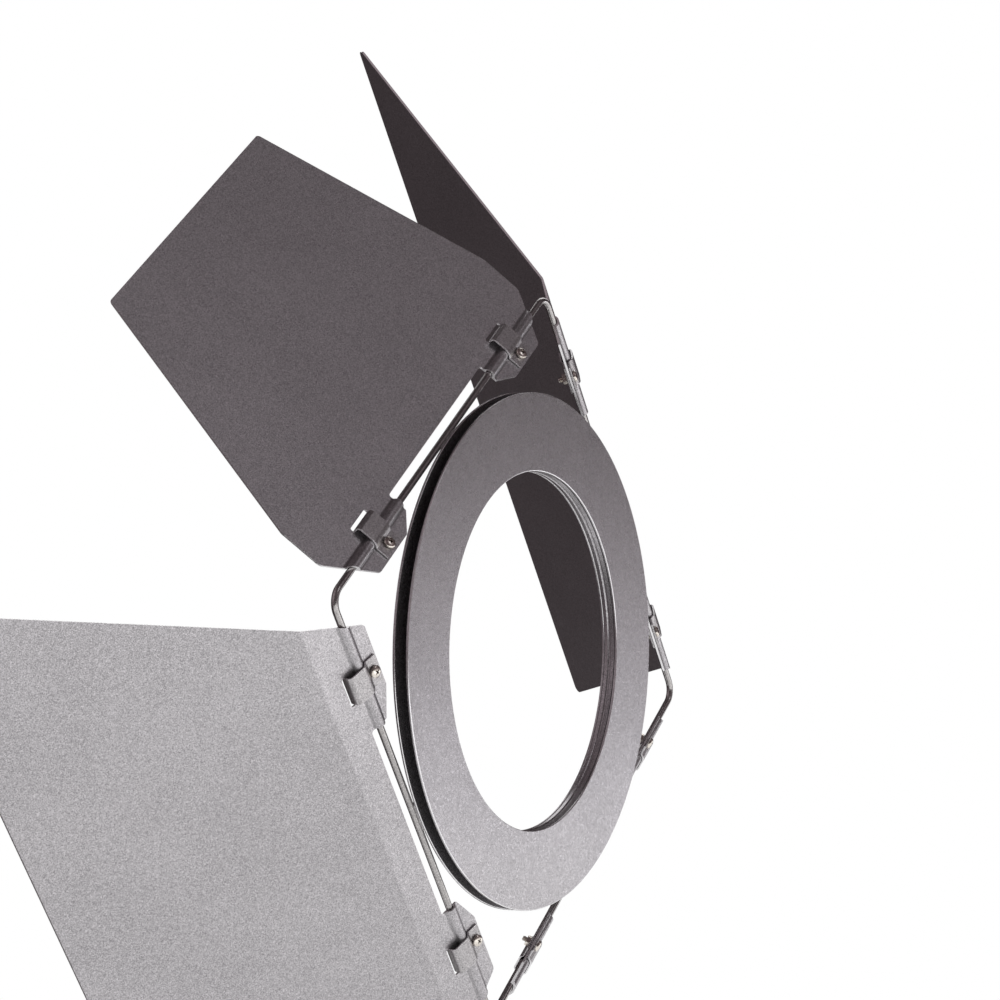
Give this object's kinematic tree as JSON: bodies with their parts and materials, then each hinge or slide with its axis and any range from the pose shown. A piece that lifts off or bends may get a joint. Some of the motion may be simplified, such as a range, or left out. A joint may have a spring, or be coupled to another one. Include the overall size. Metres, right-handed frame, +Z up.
{
  "type": "barn door attachment",
  "caption": "Four-leaf barn door for a round stage lamp: sheet-metal leaves clamped to a square of round rod on a double ring that sits in the lamp's front clips.",
  "frame": {"origin": "centre of the ring on its rear face, where it seats against the lamp", "axes": "+Y points back into the lamp along the beam axis, so light leaves towards -Y; +Z is up with the rod square standing almost on a corner; +X is to the side"},
  "size_m": [0.7674, 0.1642, 0.751],
  "materials": {
    "ring_paint": "fine metallic powder coat, satin",
    "leaf_paint": "fine metallic powder coat, satin",
    "clamp_paint": "fine metallic powder coat, satin",
    "rod_steel": "thin silver-grey coat, semi-gloss",
    "weld_bead": "painted over weld, rough",
    "zinc_plate": "bright zinc plate"
  },
  "bodies": {
    "ring_frame": {"rear_flange": "ring_paint", "front_flange": "ring_paint", "inner_collar": "ring_paint", "hinge_rod": "rod_steel", "rod_weld_1": "weld_bead", "rod_weld_2": "weld_bead", "rod_weld_3": "weld_bead", "rod_weld_4": "weld_bead"},
    "upper_narrow_leaf": {"upper_narrow_leaf": "leaf_paint", "upper_narrow_leaf_clamp_1": "clamp_paint", "upper_narrow_leaf_screw_1": "zinc_plate", "upper_narrow_leaf_nut_1": "zinc_plate", "upper_narrow_leaf_clamp_2": "clamp_paint", "upper_narrow_leaf_screw_2": "zinc_plate", "upper_narrow_leaf_nut_2": "zinc_plate"},
    "upper_wide_leaf": {"upper_wide_leaf": "leaf_paint", "upper_wide_leaf_clamp_1": "clamp_paint", "upper_wide_leaf_screw_1": "zinc_plate", "upper_wide_leaf_nut_1": "zinc_plate", "upper_wide_leaf_clamp_2": "clamp_paint", "upper_wide_leaf_screw_2": "zinc_plate", "upper_wide_leaf_nut_2": "zinc_plate"},
    "lower_narrow_leaf": {"lower_narrow_leaf": "leaf_paint", "lower_narrow_leaf_clamp_1": "clamp_paint", "lower_narrow_leaf_screw_1": "zinc_plate", "lower_narrow_leaf_nut_1": "zinc_plate", "lower_narrow_leaf_clamp_2": "clamp_paint", "lower_narrow_leaf_screw_2": "zinc_plate", "lower_narrow_leaf_nut_2": "zinc_plate"},
    "lower_wide_leaf": {"lower_wide_leaf": "leaf_paint", "lower_wide_leaf_clamp_1": "clamp_paint", "lower_wide_leaf_screw_1": "zinc_plate", "lower_wide_leaf_nut_1": "zinc_plate", "lower_wide_leaf_clamp_2": "clamp_paint", "lower_wide_leaf_screw_2": "zinc_plate", "lower_wide_leaf_nut_2": "zinc_plate"}
  },
  "joints": [
    {"name": "upper_narrow_hinge", "type": "hinge", "parent": "ring_frame", "child": "upper_narrow_leaf", "pos_m": [0.08691, -0.0121, 0.11918], "axis": [0.808, 0, -0.5892], "range_deg": [-77, 101]},
    {"name": "upper_wide_hinge", "type": "hinge", "parent": "ring_frame", "child": "upper_wide_leaf", "pos_m": [-0.11918, -0.0121, 0.08691], "axis": [0.5892, 0, 0.808], "range_deg": [-67.6, 64.4]},
    {"name": "lower_narrow_hinge", "type": "hinge", "parent": "ring_frame", "child": "lower_narrow_leaf", "pos_m": [-0.08691, -0.0121, -0.11918], "axis": [-0.808, 0, 0.5892], "range_deg": [-77, 101]},
    {"name": "lower_wide_hinge", "type": "hinge", "parent": "ring_frame", "child": "lower_wide_leaf", "pos_m": [0.11918, -0.0121, -0.08691], "axis": [-0.5892, 0, -0.808], "range_deg": [-56.5, 75.5]}
  ]
}
